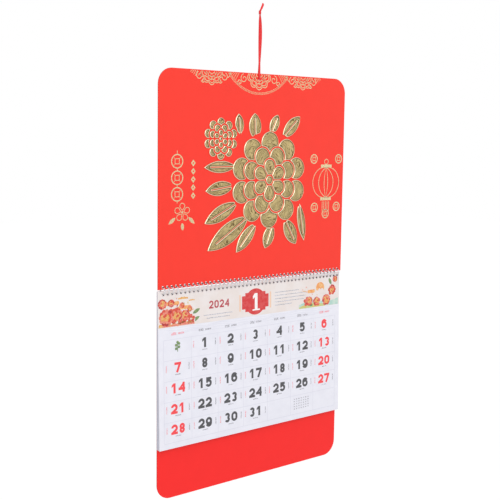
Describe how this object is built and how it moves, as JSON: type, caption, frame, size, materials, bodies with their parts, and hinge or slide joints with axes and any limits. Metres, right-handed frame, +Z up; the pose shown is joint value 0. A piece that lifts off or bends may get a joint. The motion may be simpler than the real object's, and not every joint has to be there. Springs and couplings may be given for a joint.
{
  "type": "wall calendar",
  "caption": "Hanging wall calendar: red card headboard with gold relief, wire bound month pages and a backboard, on a knotted ribbon.",
  "frame": {"origin": "the point under the ribbon's knot where a nail carries the calendar", "axes": "+Z up, +X to the viewer's right across the calendar, +Y from its face towards the wall"},
  "size_m": [0.401, 0.0143, 0.8105],
  "materials": {
    "red_card": "smooth coated card",
    "page_paper": "smooth",
    "wire": "white coated wire",
    "ribbon_satin": "satin",
    "gold_relief": "embossed gold foil",
    "gold_foil": "stamped gold foil",
    "header_tint": "print",
    "red_ink": "print",
    "orange_ink": "print",
    "green_ink": "print",
    "grey_ink": "print",
    "crimson_ink": "print",
    "peach_ink": "print",
    "white_ink": "print",
    "rule_ink": "print",
    "dark_ink": "print"
  },
  "bodies": {
    "headboard": {"upper_board": "red_card", "binding_wire": "wire", "ribbon": "ribbon_satin", "ribbon_knot": "ribbon_satin", "relief_emblem": "gold_relief", "top_lace_foil": "gold_foil", "left_motif_foil": "gold_foil", "right_motif_foil": "gold_foil"},
    "pages": {"page_pad": "page_paper", "header_band": "header_tint", "header_blossoms": "red_ink", "header_sun": "orange_ink", "header_leaves": "green_ink", "header_lines": "grey_ink", "month_plate": "crimson_ink", "month_plate_sides": "peach_ink", "month_number": "white_ink", "year_number": "crimson_ink", "table_rules": "rule_ink", "weekday_dates": "dark_ink", "weekend_dates": "red_ink", "grey_marks": "grey_ink", "red_marks": "red_ink"},
    "backboard": {"lower_board": "red_card"}
  },
  "joints": [
    {"name": "pages_turn", "type": "hinge", "parent": "headboard", "child": "pages", "pos_m": [0, 0, -0.4442], "axis": [-1, 0, 0], "range_deg": [0, 120]},
    {"name": "backboard_turn", "type": "hinge", "parent": "headboard", "child": "backboard", "pos_m": [0, 0, -0.4442], "axis": [1, 0, 0], "range_deg": [0, 60]}
  ]
}
